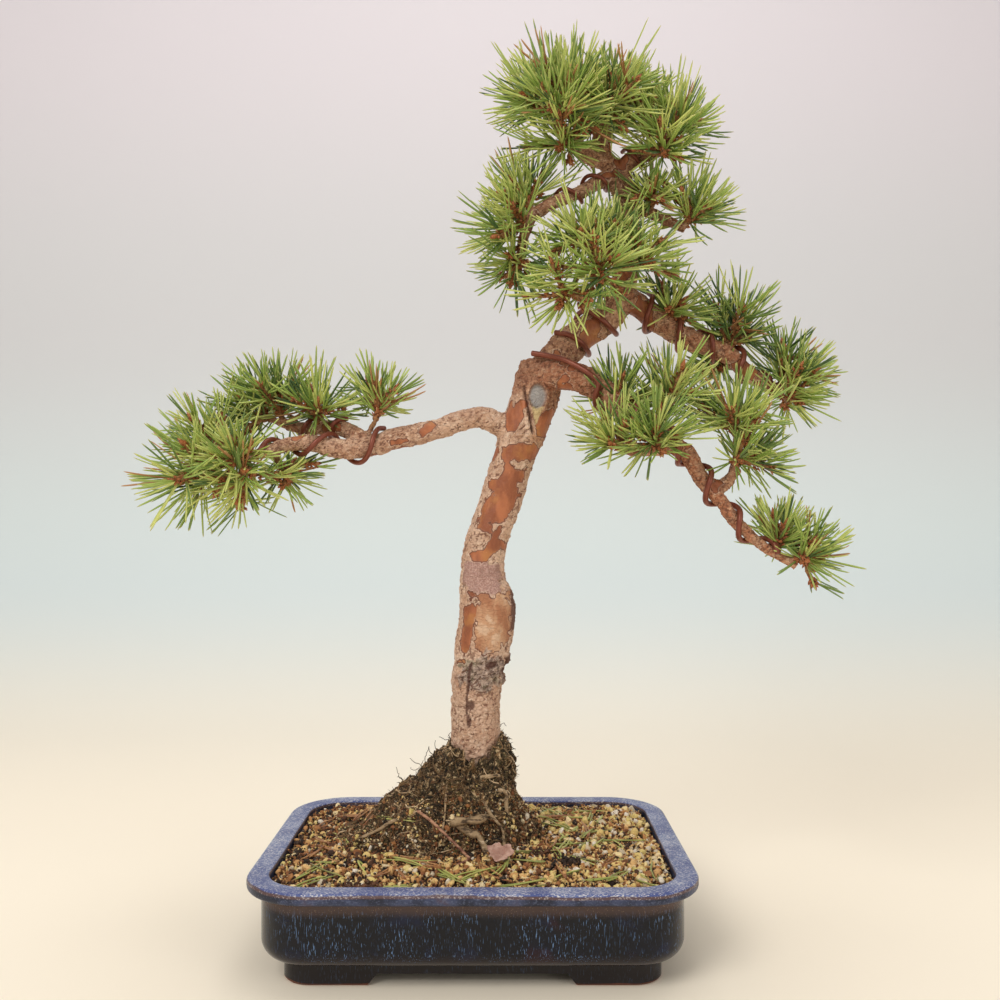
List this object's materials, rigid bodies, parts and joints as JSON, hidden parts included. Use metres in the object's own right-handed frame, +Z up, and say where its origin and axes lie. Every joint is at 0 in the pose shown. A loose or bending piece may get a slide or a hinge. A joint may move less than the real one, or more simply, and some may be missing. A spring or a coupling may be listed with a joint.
{
  "type": "potted bonsai pine",
  "caption": "Wired pine bonsai with a leaning trunk and needle tufts, on a mossy root ball in gritty soil in a shallow rectangular glazed pot on low corner feet.",
  "frame": {"origin": "middle of the whole object's footprint box, on the surface that the pot's feet stand on", "axes": "+Z up, the way the tree grows; +X to the right along the pot's long side as seen from the tree's front; -Y is the front"},
  "size_m": [0.4474, 0.19, 0.56],
  "materials": {
    "glaze": "gloss blue glaze with pale streaks",
    "grit": "loose tan and brown grains",
    "moss": "dark mossy peat with fibres",
    "bark": "flaking pinkish bark over smooth orange",
    "dead_wood": "dry twig",
    "needles": "fresh green needles, slightly waxy",
    "training_wire": "copper-brown coated, satin",
    "screen_plastic": "black moulded mesh",
    "clip_wire": "plain drawn wire",
    "dry_leaf": "dry and matt"
  },
  "bodies": {
    "root": {"dead_leaf": "dry_leaf", "drain_screen_left": "screen_plastic", "drain_screen_right": "screen_plastic", "fallen_twig": "dead_wood", "needles_apex_1": "needles", "needles_apex_2": "needles", "needles_apex_3": "needles", "needles_centre_1": "needles", "needles_centre_2": "needles", "needles_centre_3": "needles", "needles_centre_4": "needles", "needles_centre_5": "needles", "needles_cloud_1": "needles", "needles_cloud_2": "needles", "needles_cloud_3": "needles", "needles_crown_1": "needles", "needles_crown_2": "needles", "needles_crown_3": "needles", "needles_crown_4": "needles", "needles_crown_5": "needles", "needles_crown_6": "needles", "needles_crown_7": "needles", "needles_crown_8": "needles", "needles_left_1": "needles", "needles_left_2": "needles", "needles_left_3": "needles", "needles_left_4": "needles", "needles_left_5": "needles", "needles_left_6": "needles", "needles_left_7": "needles", "needles_left_8": "needles", "needles_lower_1": "needles", "needles_lower_2": "needles", "needles_lower_3": "needles", "needles_lower_4": "needles", "needles_lower_5": "needles", "needles_lower_6": "needles", "needles_lower_7": "needles", "needles_lower_8": "needles", "needles_shoot_1": "needles", "needles_side_1": "needles", "needles_side_2": "needles", "needles_upper_1": "needles", "needles_upper_2": "needles", "needles_upper_3": "needles", "needles_upper_4": "needles", "needles_upper_5": "needles", "pot": "glaze", "root_ball": "moss", "screen_clip_left": "clip_wire", "screen_clip_right": "clip_wire", "substrate": "grit", "trunk_and_branches": "bark", "wire_apex": "training_wire", "wire_leader": "training_wire", "wire_left_lower": "training_wire", "wire_left_upper": "training_wire", "wire_lower_right": "training_wire", "wire_upper_left": "training_wire", "wire_upper_right": "training_wire"}
  },
  "joints": []
}
